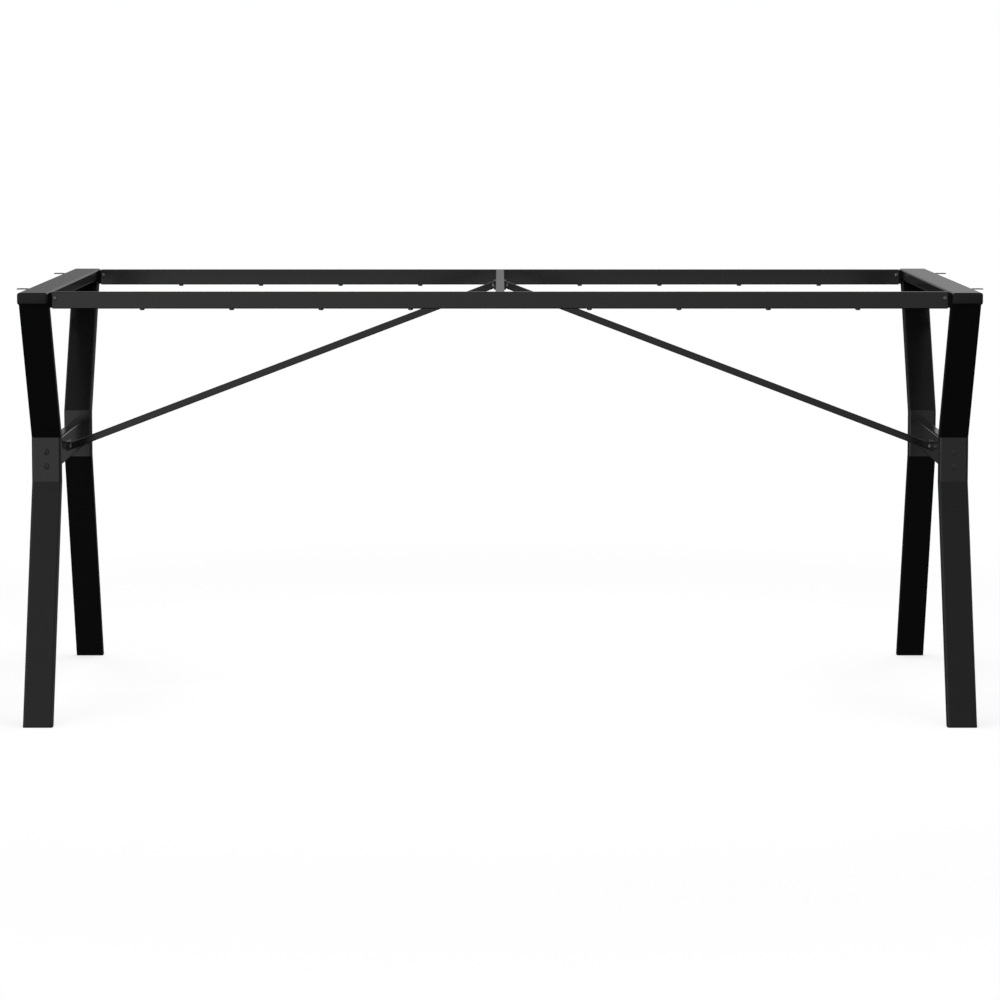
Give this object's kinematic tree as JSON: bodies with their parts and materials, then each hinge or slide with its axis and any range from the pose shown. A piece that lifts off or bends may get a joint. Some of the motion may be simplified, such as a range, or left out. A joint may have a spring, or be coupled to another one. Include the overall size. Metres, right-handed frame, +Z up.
{
  "type": "table base",
  "caption": "Steel table base with waisted y-shaped end frames of bent flat tube, a flat top frame of rails and a centre bar, and diagonal tube braces.",
  "frame": {"origin": "floor level, at the middle of the base", "axes": "+X along the length of the table, +Y towards the back, +Z up"},
  "size_m": [1.638, 0.8, 0.73],
  "materials": {
    "powder_coat": "satin black powder coat",
    "black_plastic": "moulded black",
    "black_fasteners": "black zinc"
  },
  "bodies": {
    "root": {"end_bar_left": "powder_coat", "end_bar_right": "powder_coat", "leg_front_left": "powder_coat", "leg_back_left": "powder_coat", "leg_front_right": "powder_coat", "leg_back_right": "powder_coat", "stretcher_left": "powder_coat", "stretcher_right": "powder_coat", "stretcher_block_front_left": "powder_coat", "stretcher_block_back_left": "powder_coat", "stretcher_block_front_right": "powder_coat", "stretcher_block_back_right": "powder_coat", "rail_front": "powder_coat", "rail_back": "powder_coat", "rail_tongue_front_left": "powder_coat", "rail_tongue_back_left": "powder_coat", "rail_tongue_front_right": "powder_coat", "rail_tongue_back_right": "powder_coat", "centre_bar": "powder_coat", "centre_tongue_front": "powder_coat", "centre_tongue_back": "powder_coat", "brace_tube_left": "powder_coat", "brace_tube_right": "powder_coat", "brace_foot_plate_left": "powder_coat", "brace_foot_plate_right": "powder_coat", "brace_head_plate_left": "powder_coat", "brace_head_plate_right": "powder_coat", "top_tab_front_left": "powder_coat", "top_tab_back_left": "powder_coat", "top_tab_front_right": "powder_coat", "top_tab_back_right": "powder_coat", "end_cap_front_left": "black_plastic", "end_cap_back_left": "black_plastic", "end_cap_front_right": "black_plastic", "end_cap_back_right": "black_plastic", "foot_glide_front_left": "black_plastic", "foot_glide_back_left": "black_plastic", "foot_glide_front_right": "black_plastic", "foot_glide_back_right": "black_plastic", "stretcher_bolts": "black_fasteners", "rail_screws": "black_fasteners", "rail_nuts": "black_fasteners", "centre_screws": "black_fasteners", "top_screws": "black_fasteners", "brace_foot_bolts": "black_fasteners", "brace_foot_nuts": "black_fasteners", "brace_head_bolts": "black_fasteners", "brace_head_nuts": "black_fasteners"}
  },
  "joints": []
}
